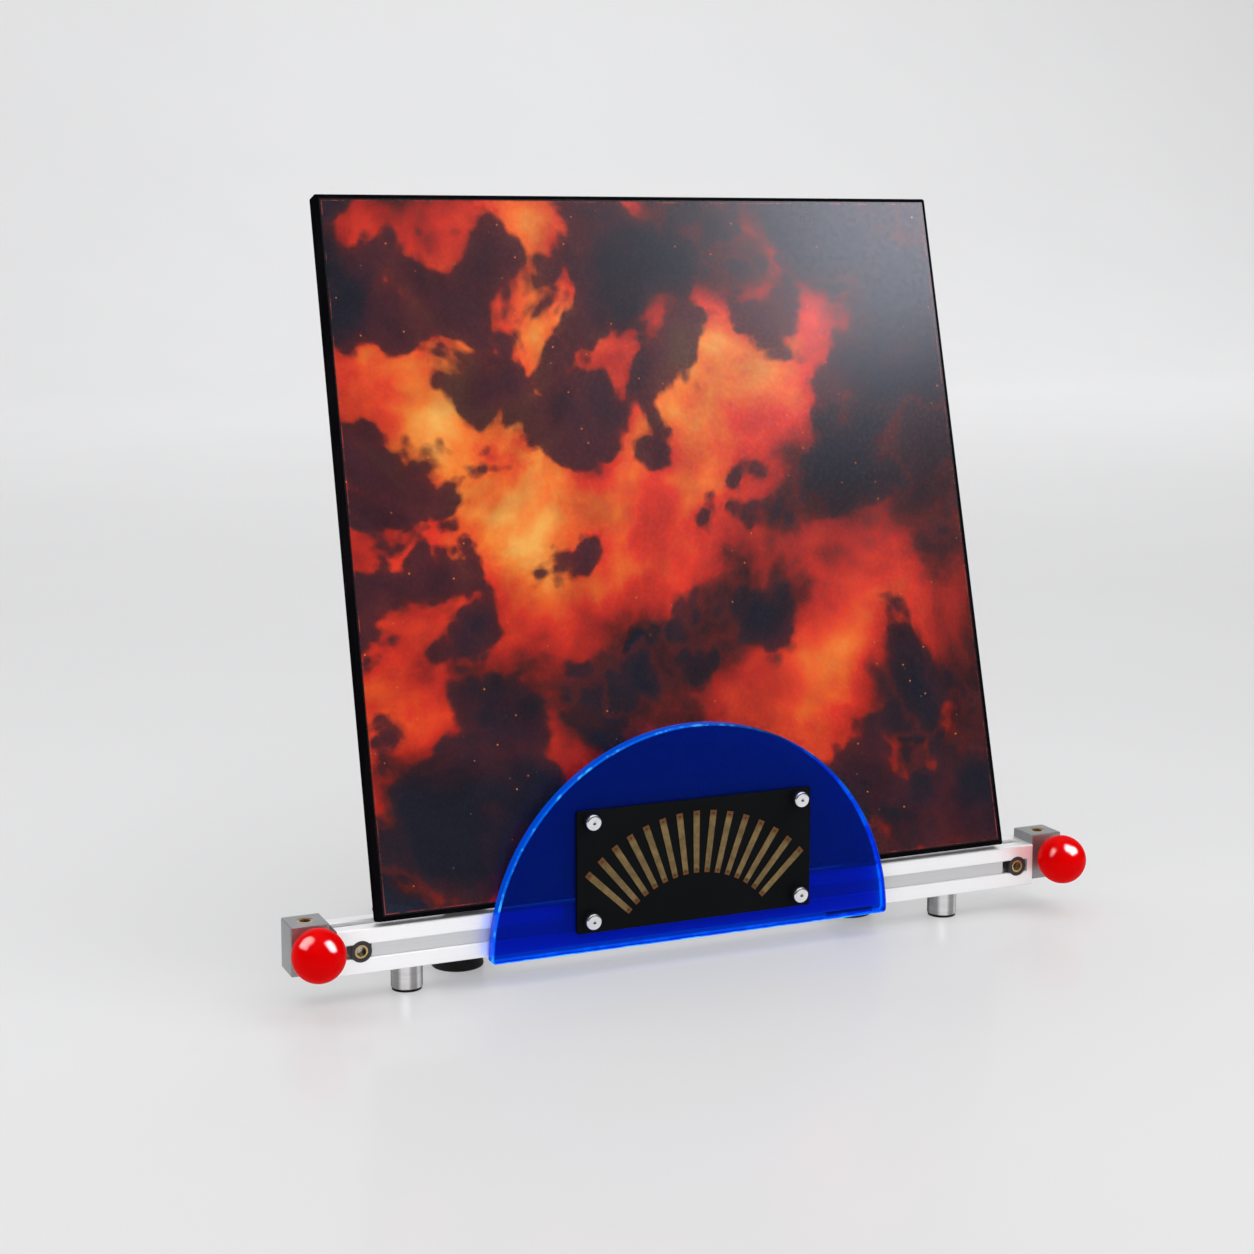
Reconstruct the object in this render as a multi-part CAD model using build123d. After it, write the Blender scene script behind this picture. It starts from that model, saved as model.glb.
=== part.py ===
from build123d import *
import math
import os

# Record display stand: a slotted aluminium rail on two metal feet carries a translucent
# half-disc front plate, a rod-clamp block with a ball knob at each end, and a bent-strap
# easel behind it. A record case leans back between the front plate and the easel.
# Millimetres. Measures below take the rail's middle as x = 0 and y = 0 and the floor as
# z = 0. The front faces -Y. On export everything moves so that the origin is the middle
# of the bounding box's bottom.

# Rail
RAIL_SIZE = 20.0
RAIL_HALF = 174.0
RAIL_BOTTOM = 12.2
RAIL_TOP = RAIL_BOTTOM + RAIL_SIZE
RAIL_MID_Z = RAIL_BOTTOM + RAIL_SIZE / 2
RAIL_FACE = RAIL_SIZE / 2
RAIL_CORNER = 0.8
RAIL_BORE = 5.0
MOUTH_HALF = 3.0
MOUTH_CHAMFER = 0.45
LIP = 1.8
UNDERCUT_HALF = 5.5
UNDERCUT_DEPTH = 3.2
SLOT_DEPTH = 6.1
SLOT_FLOOR_HALF = 2.8

# Slot covers in the front slot
COVER_RECESS = 1.0
COVER_THICK = 0.8
COVER_HALF = 2.9
COVER_FLANGE_HALF = 4.2
COVER_LEFT_END = -56.0
COVER_RIGHT_START = 40.0
COVER_RIGHT_END = 160.6

# End caps, end blocks and what is in them
CAP_THICK = 3.0
BLOCK_X = 17.0
BLOCK_FRONT = -9.0
BLOCK_BACK = 7.0
BLOCK_BOTTOM = 14.4
BLOCK_TOP = 36.4
BLOCK_CENTRE = RAIL_HALF + CAP_THICK + BLOCK_X / 2
BLOCK_MID_Y = (BLOCK_FRONT + BLOCK_BACK) / 2
BLOCK_CHAMFER = 0.5
SOCKET_R = 2.5
SOCKET_LENGTH = 6.2
BUSH_R = 3.5
BUSH_BELOW_TOP = 0.2
BLOCK_BORE_R = 2.8
BLOCK_BORE_BOTTOM = 18.5
LOCK_X = (-163.3, 168.3)
LOCK_R = 4.8
LOCK_RING_R = 2.95
LOCK_BORE_R = 2.2
LOCK_DEPTH = 5.6
LOCK_POCKET = 13.6
LOCK_BOLT_R = 2.0
LOCK_HEAD_R = 3.2
LOCK_HEAD = 3.0
LOCK_BOLT_END = BLOCK_CENTRE - 4.0

# Ball knobs
KNOB_Z = 27.0
BALL_R = 11.6
BALL_Y = -22.5
BALL_FLAT = 10.9
STUD_R = 2.5
STUD_HOLE_R = 2.55
STUD_DEPTH = 9.0
STUD_END = -6.0
NOSE_R = 1.2
NOSE_LENGTH = 1.0
PAD_R = 2.3
PAD_BACK = -5.7
PAD_FRONT = -3.9
PAD_HOLE_R = 1.25
PAD_HOLE_DEPTH = 1.0

# Metal feet under the rail
FOOT_X = (-140.0, 132.0)
FOOT_R = 7.0
FOOT_PAD_R = 6.6
FOOT_PAD = 1.0
FOOT_SCREW_R = 2.0
FOOT_SCREW_TOP = 17.2

# Slot nuts
NUT_LENGTH = 8.0
NUT_HALF = 4.6
NUT_THICK = 2.2
NUT_BOSS_HALF = 2.7
NUT_BOSS = 1.3

# Front plate and the panel with the fan of strips
PLATE_X = -7.8
PLATE_R = 98.8
PLATE_BOTTOM = 10.8
PLATE_THICK = 6.0
PLATE_BACK = -12.0
PLATE_FRONT = PLATE_BACK - PLATE_THICK
PLATE_CORNER = 2.0
PLATE_EDGE = 0.8
PLATE_SCREW_OFFSET = 38.0
PLATE_SCREW_R = 1.25
PLATE_SCREW_HEAD_R = 1.85
PLATE_SCREW_END = -5.4
SPACER_R = 3.4
PANEL_X = -9.4
PANEL_W = 116.0
PANEL_H = 55.6
PANEL_THICK = 2.0
PANEL_MID_Z = 48.1
PANEL_CORNER = 1.0
PANEL_FRONT = PLATE_FRONT - PANEL_THICK
SCREW_SPAN_X = 103.0
SCREW_SPAN_Z = 44.8
SCREW_MID_Z = 49.0
SCREW_HEAD_R = 3.7
SCREW_HEAD = 4.6
SCREW_SHANK_R = 2.0
SCREW_DIMPLE_R = 0.9
SCREW_DIMPLE = 1.2
STRIP_COUNT = 15
STRIP_SWEEP = 94.0
FAN_CENTRE_Z = -2.2
STRIP_INNER = 44.3
STRIP_OUTER = 72.9
STRIP_W_OUTER = 3.2
STRIP_W_INNER = 2.6
STRIP_RECESS = 0.5
STRIP_PROUD = 0.25
PIN_R = 0.5
PIN_INSET = 1.5
PIN_PROUD = 0.05

# Easel: two bent straps with rubber feet, two crossbars and two back pads
EASEL_X = (-109.0, 92.0)
STRAP_W = 20.0
STRAP_T = 3.0
STRAP_BOTTOM = 6.0
STRAP_BACK = 124.0
STRAP_INNER_BEND = 4.0
STRAP_LEAN_BEND = 8.0
STRAP_END_R = 9.9
ARM_TOP_Z = 206.0
EASEL_SCREW_OFFSET = 5.5
RUBBER_R = 12.0
RUBBER_FRONT_Y = 21.7
RUBBER_BACK_Y = STRAP_BACK - RUBBER_R
RUBBER_TAPER = 1.0
M4_R = 2.0
M4_CLEAR_R = 2.15
M4_HEAD_R = 3.8
M4_HEAD = 2.2
M4_SOCKET_R = 1.3
M4_SOCKET = 1.2
CROSSBAR_W = 15.0
CROSSBAR_T = 3.0
CROSSBAR_LOW_Y = 88.0
CROSSBAR_HIGH_UP = 92.0
CROSSBAR_SCREW_OFFSET = 5.0
BACK_PAD_LENGTH = 42.0
BACK_PAD_T = 2.0

# Record case
LEAN = 15.0
CASE_X = 1.6
CASE_W = 315.0
CASE_H = 322.0
CASE_T = 8.5
CASE_WALL = 1.1
CASE_EDGE = 1.1
GAP = 0.3
PRINT_BORDER = 2.0
PRINT_T = 0.25
INNER_SLEEVE_W = 311.0
INNER_SLEEVE_H = 312.0
INNER_SLEEVE_T = 3.0
INNER_SLEEVE_WALL = 0.4
INNER_SLEEVE_GAP = 0.1
DISC_R = 151.0
DISC_T = 1.9
DISC_HOLE_R = 3.65
LABEL_R = 50.0
LABEL_T = 0.1

SIN = math.sin(math.radians(LEAN))
COS = math.cos(math.radians(LEAN))
TAN = SIN / COS
CASE_Y = PLATE_BACK + GAP
CASE_Z = RAIL_TOP + GAP + CASE_T * SIN
ARM_OFFSET = BACK_PAD_T + GAP
FRONT_END = BALL_Y - BALL_R
ORIGIN_Y = (FRONT_END + STRAP_BACK) / 2
SIDES = {"left": -1, "right": 1}


def facing_front(y):
    """A plane at depth y that looks towards the front: local x is +X, local y is +Z."""
    return Plane(origin=(0, y, 0), x_dir=(1, 0, 0), z_dir=(0, -1, 0))


def bar_y(x, z, radius, y_from, y_to):
    """A round bar along Y between two depths."""
    return extrude(facing_front(max(y_from, y_to)) * Pos(x, z) * Circle(radius), abs(y_to - y_from))


def bar_z(x, y, radius, z_from, z_to):
    """A round bar along Z between two heights."""
    return extrude(Plane.XY.offset(z_from) * Pos(x, y) * Circle(radius), z_to - z_from)


def bar_x(y, z, radius, x_from, x_to):
    """A round bar along X between two places."""
    low = min(x_from, x_to)
    plane = Plane(origin=(low, 0, 0), x_dir=(0, 1, 0), z_dir=(1, 0, 0))
    return extrude(plane * Pos(y, z) * Circle(radius), abs(x_to - x_from))


def block(x0, x1, y0, y1, z0, z1):
    """A box between two corners."""
    centre = Pos((x0 + x1) / 2, (y0 + y1) / 2, (z0 + z1) / 2)
    return centre * Box(x1 - x0, y1 - y0, z1 - z0)


def group(shapes):
    """Several separate solids as one shape."""
    return Compound([solid for shape in shapes for solid in shape.solids()])


def slot_section():
    """The section of one T-slot, open at local +y."""
    face = RAIL_FACE
    right = [
        (MOUTH_HALF + MOUTH_CHAMFER + 1.0, face + 1.0),
        (MOUTH_HALF, face - MOUTH_CHAMFER),
        (MOUTH_HALF, face - LIP),
        (UNDERCUT_HALF, face - LIP),
        (UNDERCUT_HALF, face - UNDERCUT_DEPTH),
        (SLOT_FLOOR_HALF, face - SLOT_DEPTH),
    ]
    left = [(-w, d) for w, d in reversed(right)]
    return make_face(Polyline(*right, *left, close=True))


def make_rail():
    section = RectangleRounded(RAIL_SIZE, RAIL_SIZE, RAIL_CORNER)
    for turn in range(4):
        section -= Rot(0, 0, 90 * turn) * slot_section()
    section -= Circle(RAIL_BORE / 2)
    plane = Plane(origin=(-RAIL_HALF, 0, RAIL_MID_Z), x_dir=(0, 1, 0), z_dir=(1, 0, 0))
    rail = extrude(plane * section, 2 * RAIL_HALF)
    for x in LOCK_X:
        rail -= bar_y(x, RAIL_MID_Z, LOCK_R, -RAIL_FACE - 1, -RAIL_FACE + LOCK_POCKET)
    return rail


def make_slot_cover(x_from, x_to):
    """A cover strip that snaps into the front slot, a little below the face."""
    length = x_to - x_from
    front = -RAIL_FACE + COVER_RECESS
    lip_back = -RAIL_FACE + LIP
    middle = (x_from + x_to) / 2
    strip = block(x_from, x_to, front, lip_back, RAIL_MID_Z - COVER_HALF, RAIL_MID_Z + COVER_HALF)
    flange = Pos(middle, lip_back + COVER_THICK / 2, RAIL_MID_Z) * Box(
        length, COVER_THICK, 2 * COVER_FLANGE_HALF
    )
    return strip + flange


def make_end_cap(side):
    inner = side * RAIL_HALF
    plane = Plane(origin=(inner, 0, RAIL_MID_Z), x_dir=(0, 1, 0), z_dir=(side, 0, 0))
    cap = extrude(plane * RectangleRounded(RAIL_SIZE, RAIL_SIZE, RAIL_CORNER), CAP_THICK)
    return cap - bar_x(0, RAIL_MID_Z, LOCK_BOLT_R + 0.2, inner, inner + side * CAP_THICK)


def make_end_block(side):
    x = side * BLOCK_CENTRE
    body = block(x - BLOCK_X / 2, x + BLOCK_X / 2, BLOCK_FRONT, BLOCK_BACK, BLOCK_BOTTOM, BLOCK_TOP)
    body = chamfer(body.edges(), BLOCK_CHAMFER)
    body -= bar_z(x, BLOCK_MID_Y, BLOCK_BORE_R, BLOCK_BORE_BOTTOM, BLOCK_TOP)
    body -= bar_z(x, BLOCK_MID_Y, BUSH_R, BLOCK_TOP - BUSH_BELOW_TOP - SOCKET_LENGTH, BLOCK_TOP)
    body -= bar_y(x, KNOB_Z, STUD_HOLE_R, BLOCK_FRONT, BLOCK_MID_Y)
    inner_face = side * (BLOCK_CENTRE - BLOCK_X / 2)
    return body - bar_x(0, RAIL_MID_Z, LOCK_BOLT_R, inner_face, side * LOCK_BOLT_END)


def make_rod_bush(side):
    x = side * BLOCK_CENTRE
    top = BLOCK_TOP - BUSH_BELOW_TOP
    bush = bar_z(x, BLOCK_MID_Y, BUSH_R, top - SOCKET_LENGTH, top)
    return bush - bar_z(x, BLOCK_MID_Y, SOCKET_R, top - SOCKET_LENGTH, top)


def make_lock_bush(x):
    front = -RAIL_FACE - 0.2
    ring = bar_y(x, RAIL_MID_Z, LOCK_R, front, front + LOCK_DEPTH)
    ring = chamfer(ring.edges().group_by(Axis.Y)[0], 0.4)
    return ring - bar_y(x, RAIL_MID_Z, LOCK_RING_R, front, front + LOCK_DEPTH)


def make_lock_ring(x):
    front = -RAIL_FACE
    ring = bar_y(x, RAIL_MID_Z, LOCK_RING_R, front, front + LOCK_DEPTH - 0.2)
    return ring - bar_y(x, RAIL_MID_Z, LOCK_BORE_R, front, front + LOCK_DEPTH - 0.2)


def make_lock_bolt(side, x):
    """The bolt in the rail's core: its head is in the cross bore, its tail in the block."""
    head_outer = x + side * (LOCK_R - 1.4)
    head = bar_x(0, RAIL_MID_Z, LOCK_HEAD_R, head_outer - side * LOCK_HEAD, head_outer)
    return head + bar_x(0, RAIL_MID_Z, LOCK_BOLT_R, head_outer, side * LOCK_BOLT_END)


def make_ball(side):
    x = side * BLOCK_CENTRE
    ball = Pos(x, BALL_Y, KNOB_Z) * Sphere(BALL_R)
    ball -= block(x - BALL_R, x + BALL_R, BALL_Y + BALL_FLAT, 0, KNOB_Z - BALL_R, KNOB_Z + BALL_R)
    return ball - bar_y(x, KNOB_Z, STUD_R, BALL_Y + BALL_FLAT - STUD_DEPTH, 0)


def make_stud(side):
    x = side * BLOCK_CENTRE
    stud = bar_y(x, KNOB_Z, STUD_R, BALL_Y + BALL_FLAT - STUD_DEPTH, STUD_END)
    return stud + bar_y(x, KNOB_Z, NOSE_R, STUD_END, STUD_END + NOSE_LENGTH)


def make_pressure_pad(side):
    x = side * BLOCK_CENTRE
    pad = bar_y(x, KNOB_Z, PAD_R, PAD_BACK, PAD_FRONT)
    return pad - bar_y(x, KNOB_Z, PAD_HOLE_R, PAD_BACK, PAD_BACK + PAD_HOLE_DEPTH)


def make_foot(x):
    foot = bar_z(x, 0, FOOT_R, FOOT_PAD, RAIL_BOTTOM)
    foot = chamfer(foot.edges(), 0.35)
    return foot - bar_z(x, 0, FOOT_SCREW_R, FOOT_PAD + 2.0, RAIL_BOTTOM)


def make_foot_pad(x):
    return bar_z(x, 0, FOOT_PAD_R, 0, FOOT_PAD)


def make_foot_screws():
    return group(bar_z(x, 0, FOOT_SCREW_R, FOOT_PAD + 2.0, FOOT_SCREW_TOP) for x in FOOT_X)


def slot_nut(hole_r):
    """A slot nut whose boss points to +Z, with its face plane, the rail's face, at z = 0."""
    body = Pos(0, 0, -LIP - NUT_THICK / 2) * Box(NUT_LENGTH, 2 * NUT_HALF, NUT_THICK)
    boss = Pos(0, 0, -LIP + NUT_BOSS / 2) * Box(NUT_LENGTH, 2 * NUT_BOSS_HALF, NUT_BOSS)
    nut = body + boss
    return nut - bar_z(0, 0, hole_r, -LIP - NUT_THICK, 0)


def easel_screw_places():
    return [x + offset for x in EASEL_X for offset in (-EASEL_SCREW_OFFSET, EASEL_SCREW_OFFSET)]


def plate_screw_places():
    return [PLATE_X - PLATE_SCREW_OFFSET, PLATE_X + PLATE_SCREW_OFFSET]


def make_foot_nuts():
    nut = Rot(180, 0, 0) * slot_nut(FOOT_SCREW_R)
    return group(Pos(x, 0, RAIL_BOTTOM) * nut for x in FOOT_X)


def make_easel_nuts():
    nut = Rot(-90, 0, 0) * slot_nut(M4_R)
    return group(Pos(x, RAIL_FACE, RAIL_MID_Z) * nut for x in easel_screw_places())


def make_plate_nuts():
    nut = Rot(90, 0, 0) * slot_nut(PLATE_SCREW_R)
    return group(Pos(x, -RAIL_FACE, RAIL_MID_Z) * nut for x in plate_screw_places())


def panel_screw_places():
    return [
        (PANEL_X + sx * SCREW_SPAN_X / 2, SCREW_MID_Z + sz * SCREW_SPAN_Z / 2)
        for sx in (-1, 1)
        for sz in (-1, 1)
    ]


def plate_screw_head(x):
    """The cone of a countersunk head, flush with the front plate's front."""
    drop = PLATE_SCREW_HEAD_R - PLATE_SCREW_R
    cone = Cone(PLATE_SCREW_R, PLATE_SCREW_HEAD_R, drop)
    return Pos(x, PLATE_FRONT + drop / 2, RAIL_MID_Z) * Rot(90, 0, 0) * cone


def make_front_plate():
    disc = Circle(PLATE_R) - Pos(0, -PLATE_R) * Rectangle(4 * PLATE_R, 2 * PLATE_R)
    corners = [v for v in disc.vertices() if abs(v.Y) < 0.01]
    disc = fillet(corners, PLATE_CORNER)
    plate = extrude(facing_front(PLATE_BACK) * Pos(PLATE_X, PLATE_BOTTOM) * disc, PLATE_THICK)
    rims = plate.faces().sort_by(Axis.Y)
    plate = chamfer(rims[0].edges() + rims[-1].edges(), PLATE_EDGE)
    for x, z in panel_screw_places():
        plate -= bar_y(x, z, SCREW_SHANK_R, PLATE_FRONT, PLATE_BACK)
    for x in plate_screw_places():
        plate -= bar_y(x, RAIL_MID_Z, PLATE_SCREW_R, PLATE_FRONT, PLATE_BACK)
        plate -= plate_screw_head(x)
    return plate


def make_plate_screws():
    screws = []
    for x in plate_screw_places():
        shank = bar_y(x, RAIL_MID_Z, PLATE_SCREW_R, PLATE_FRONT, PLATE_SCREW_END)
        screws.append(shank + plate_screw_head(x))
    return group(screws)


def make_plate_spacers():
    spacers = []
    for x in plate_screw_places():
        ring = bar_y(x, RAIL_MID_Z, SPACER_R, PLATE_BACK, -RAIL_FACE)
        spacers.append(ring - bar_y(x, RAIL_MID_Z, PLATE_SCREW_R, PLATE_BACK, -RAIL_FACE))
    return group(spacers)


def strip_angles():
    step = STRIP_SWEEP / (STRIP_COUNT - 1)
    return [-STRIP_SWEEP / 2 + step * k for k in range(STRIP_COUNT)]


def strip_outline(angle):
    """One strip of the fan in the panel's plane, wider at its outer end."""
    points = [
        (-STRIP_W_INNER / 2, STRIP_INNER),
        (STRIP_W_INNER / 2, STRIP_INNER),
        (STRIP_W_OUTER / 2, STRIP_OUTER),
        (-STRIP_W_OUTER / 2, STRIP_OUTER),
    ]
    return Pos(PANEL_X, FAN_CENTRE_Z) * Rot(0, 0, -angle) * make_face(Polyline(*points, close=True))


def pin_places():
    places = []
    for angle in strip_angles():
        across = math.sin(math.radians(angle))
        up = math.cos(math.radians(angle))
        for radius in (STRIP_INNER + PIN_INSET, STRIP_OUTER - PIN_INSET):
            places.append((PANEL_X + radius * across, FAN_CENTRE_Z + radius * up))
    return places


def make_fan_panel():
    outline = Pos(PANEL_X, PANEL_MID_Z) * RectangleRounded(PANEL_W, PANEL_H, PANEL_CORNER)
    panel = extrude(facing_front(PLATE_FRONT) * outline, PANEL_THICK)
    panel = chamfer(panel.faces().sort_by(Axis.Y)[0].edges(), 0.3)
    for x, z in panel_screw_places():
        panel -= bar_y(x, z, SCREW_SHANK_R, PANEL_FRONT, PLATE_FRONT)
    floor = facing_front(PANEL_FRONT + STRIP_RECESS)
    for angle in strip_angles():
        panel -= extrude(floor * strip_outline(angle), STRIP_RECESS)
    return panel


def make_brass_strips():
    floor = facing_front(PANEL_FRONT + STRIP_RECESS)
    height = STRIP_RECESS + STRIP_PROUD
    strips = []
    places = pin_places()
    for k, angle in enumerate(strip_angles()):
        strip = extrude(floor * strip_outline(angle), height)
        for x, z in places[2 * k : 2 * k + 2]:
            strip -= bar_y(x, z, PIN_R, PANEL_FRONT + STRIP_RECESS, PANEL_FRONT - STRIP_PROUD)
        strips.append(strip)
    return group(strips)


def make_strip_pins():
    back = PANEL_FRONT + STRIP_RECESS
    front = PANEL_FRONT - STRIP_PROUD - PIN_PROUD
    return group(bar_y(x, z, PIN_R, back, front) for x, z in pin_places())


def make_panel_screws():
    screws = []
    for x, z in panel_screw_places():
        head = bar_y(x, z, SCREW_HEAD_R, PANEL_FRONT, PANEL_FRONT - SCREW_HEAD)
        head = fillet(head.edges().group_by(Axis.Y)[0], 1.1)
        head -= bar_y(x, z, SCREW_DIMPLE_R, PANEL_FRONT - SCREW_HEAD, PANEL_FRONT - SCREW_HEAD + SCREW_DIMPLE)
        screws.append(head + bar_y(x, z, SCREW_SHANK_R, PANEL_FRONT, PLATE_BACK))
    return group(screws)


def arm_face_y(z, offset):
    """Depth of a plane parallel to the record case's back, offset behind it, at height z."""
    back_edge_y = CASE_Y + CASE_T * COS
    back_edge_z = CASE_Z - CASE_T * SIN
    return back_edge_y + offset / COS + (z - back_edge_z) * TAN


def bend_height(y, offset):
    """Height at which a vertical face at depth y meets that leaning plane."""
    return (y - arm_face_y(0, offset)) / TAN


def arm_place(up, out):
    """Frame beside the arm, up from its bend and out from its front face to the back.

    Local z points away from the record case.
    """
    z = bend_height(RAIL_FACE, ARM_OFFSET) + up * COS
    y = arm_face_y(z, ARM_OFFSET)
    return Plane(origin=(0, y + out * COS, z - out * SIN), x_dir=(1, 0, 0), z_dir=(0, COS, -SIN))


def arm_length():
    return (ARM_TOP_Z - bend_height(RAIL_FACE, ARM_OFFSET)) / COS


def make_easel_strap(x):
    front = RAIL_FACE
    back = RAIL_FACE + STRAP_T
    back_offset = ARM_OFFSET + STRAP_T
    top_front = (arm_face_y(ARM_TOP_Z, ARM_OFFSET), ARM_TOP_Z)
    top_back = (top_front[0] + STRAP_T * COS, ARM_TOP_Z - STRAP_T * SIN)
    near = FilletPolyline(
        top_front,
        (front, bend_height(front, ARM_OFFSET)),
        (front, STRAP_BOTTOM),
        (STRAP_BACK, STRAP_BOTTOM),
        radius=[STRAP_LEAN_BEND + STRAP_T, STRAP_INNER_BEND + STRAP_T],
    )
    far = FilletPolyline(
        (STRAP_BACK, STRAP_BOTTOM + STRAP_T),
        (back, STRAP_BOTTOM + STRAP_T),
        (back, bend_height(back, back_offset)),
        top_back,
        radius=[STRAP_INNER_BEND, STRAP_LEAN_BEND],
    )
    heel = Line((STRAP_BACK, STRAP_BOTTOM), (STRAP_BACK, STRAP_BOTTOM + STRAP_T))
    outline = make_face(near + heel + far + Line(top_back, top_front))
    plane = Plane(origin=(x - STRAP_W / 2, 0, 0), x_dir=(0, 1, 0), z_dir=(1, 0, 0))
    strap = extrude(plane * outline, STRAP_W)
    heel_edges = strap.edges().filter_by(Axis.Z).filter_by_position(Axis.Y, STRAP_BACK - 1, STRAP_BACK + 1)
    strap = fillet(heel_edges, STRAP_END_R)
    top_edges = strap.edges().filter_by(Axis((0, 0, 0), (0, COS, -SIN))).group_by(Axis.Z)[-1]
    strap = fillet(top_edges, STRAP_END_R)
    for offset in (-EASEL_SCREW_OFFSET, EASEL_SCREW_OFFSET):
        strap -= bar_y(x + offset, RAIL_MID_Z, M4_CLEAR_R, front, back)
    for y in (RUBBER_FRONT_Y, RUBBER_BACK_Y):
        strap -= bar_z(x, y, M4_CLEAR_R, STRAP_BOTTOM, STRAP_BOTTOM + STRAP_T)
    for offset in (-CROSSBAR_SCREW_OFFSET, CROSSBAR_SCREW_OFFSET):
        strap -= bar_z(x + offset, CROSSBAR_LOW_Y, M4_CLEAR_R, STRAP_BOTTOM, STRAP_BOTTOM + STRAP_T)
        hole = Pos(x + offset, 0, STRAP_T / 2) * Cylinder(M4_CLEAR_R, STRAP_T)
        strap -= arm_place(CROSSBAR_HIGH_UP, 0) * hole
    return strap


def make_crossbar_blank():
    """A crossbar lying flat, with its screw holes over the two straps."""
    middle = sum(EASEL_X) / 2
    length = EASEL_X[1] - EASEL_X[0] + STRAP_W
    bar = Pos(middle, 0, CROSSBAR_T / 2) * Box(length, CROSSBAR_W, CROSSBAR_T)
    bar = fillet(bar.edges().filter_by(Axis.Z), 3.0)
    for x in EASEL_X:
        for offset in (-CROSSBAR_SCREW_OFFSET, CROSSBAR_SCREW_OFFSET):
            bar -= bar_z(x + offset, 0, M4_CLEAR_R, 0, CROSSBAR_T)
    return bar


def make_crossbar_low():
    return Pos(0, CROSSBAR_LOW_Y, STRAP_BOTTOM + STRAP_T) * make_crossbar_blank()


def make_crossbar_high():
    return arm_place(CROSSBAR_HIGH_UP, STRAP_T) * make_crossbar_blank()


def button_screw(length):
    """A button-head screw whose head sits on z = 0 and whose shank points to -Z."""
    head = bar_z(0, 0, M4_HEAD_R, 0, M4_HEAD)
    head = fillet(head.edges().group_by(Axis.Z)[-1], 1.4)
    socket = extrude(Plane.XY.offset(M4_HEAD - M4_SOCKET) * RegularPolygon(M4_SOCKET_R, 6), M4_SOCKET)
    return head - socket + bar_z(0, 0, M4_R, -length, 0)


def make_easel_screws():
    screw = Rot(-90, 0, 0) * button_screw(STRAP_T + LIP + NUT_THICK + 0.5)
    return group(Pos(x, RAIL_FACE + STRAP_T, RAIL_MID_Z) * screw for x in easel_screw_places())


def make_crossbar_screws():
    screw = button_screw(CROSSBAR_T + STRAP_T)
    low = [
        Pos(x + offset, CROSSBAR_LOW_Y, STRAP_BOTTOM + STRAP_T + CROSSBAR_T) * screw
        for x in EASEL_X
        for offset in (-CROSSBAR_SCREW_OFFSET, CROSSBAR_SCREW_OFFSET)
    ]
    place = arm_place(CROSSBAR_HIGH_UP, STRAP_T + CROSSBAR_T)
    high = [
        place * Pos(x + offset, 0, 0) * screw
        for x in EASEL_X
        for offset in (-CROSSBAR_SCREW_OFFSET, CROSSBAR_SCREW_OFFSET)
    ]
    return group(low + high)


def make_rubber_foot(x, y):
    foot = Pos(x, y, STRAP_BOTTOM / 2) * Cone(RUBBER_R, RUBBER_R - RUBBER_TAPER, STRAP_BOTTOM)
    foot = fillet(foot.edges().group_by(Axis.Z)[0], 0.8)
    return foot - bar_z(x, y, M4_R, STRAP_BOTTOM - 4.0, STRAP_BOTTOM)


def make_rubber_feet(y):
    return group(make_rubber_foot(x, y) for x in EASEL_X)


def make_rubber_foot_screws():
    screw = button_screw(STRAP_T + 4.0)
    top = STRAP_BOTTOM + STRAP_T
    return group(Pos(x, y, top) * screw for x in EASEL_X for y in (RUBBER_FRONT_Y, RUBBER_BACK_Y))


def make_back_pad(x):
    pad = Pos(x, 0, -BACK_PAD_T / 2) * Box(STRAP_W - 2, BACK_PAD_LENGTH, BACK_PAD_T)
    pad = fillet(pad.edges().filter_by(Axis.Z), 4.0)
    return arm_place(arm_length() - BACK_PAD_LENGTH / 2 - 6.0, 0) * pad


def in_case(shape):
    """Leans a shape modelled upright in the case's own frame back to its place."""
    return Pos(CASE_X, CASE_Y, CASE_Z) * Rot(-LEAN, 0, 0) * shape


def make_record_case():
    shell = block(-CASE_W / 2, CASE_W / 2, 0, CASE_T, 0, CASE_H)
    shell = fillet(shell.edges(), CASE_EDGE)
    hollow = block(
        -CASE_W / 2 + CASE_WALL,
        CASE_W / 2 + 1,
        CASE_WALL,
        CASE_T - CASE_WALL,
        CASE_WALL,
        CASE_H - CASE_WALL,
    )
    return in_case(shell - hollow)


def make_cover_print():
    half = CASE_W / 2 - PRINT_BORDER
    return in_case(block(-half, half, -PRINT_T, 0, PRINT_BORDER, CASE_H - PRINT_BORDER))


def layer_depth(layer):
    """Depth of an inner sleeve's near face in the case: layer 0 is the front one."""
    return CASE_WALL + INNER_SLEEVE_GAP / 2 + layer * (INNER_SLEEVE_T + INNER_SLEEVE_GAP)


def make_inner_sleeve(layer):
    y0 = layer_depth(layer)
    half_w = INNER_SLEEVE_W / 2
    z0 = CASE_WALL + 0.2
    sleeve = block(-half_w, half_w, y0, y0 + INNER_SLEEVE_T, z0, z0 + INNER_SLEEVE_H)
    wall = INNER_SLEEVE_WALL
    pocket = block(
        -half_w + wall,
        half_w + 1,
        y0 + wall,
        y0 + INNER_SLEEVE_T - wall,
        z0 + wall,
        z0 + INNER_SLEEVE_H - wall,
    )
    return in_case(sleeve - pocket)


def disc_middle(layer):
    """Where a disc rests in its sleeve: on the sleeve's bottom fold, halfway through."""
    z = CASE_WALL + 0.2 + INNER_SLEEVE_WALL + 0.2 + DISC_R
    return layer_depth(layer) + INNER_SLEEVE_T / 2, z


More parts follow.
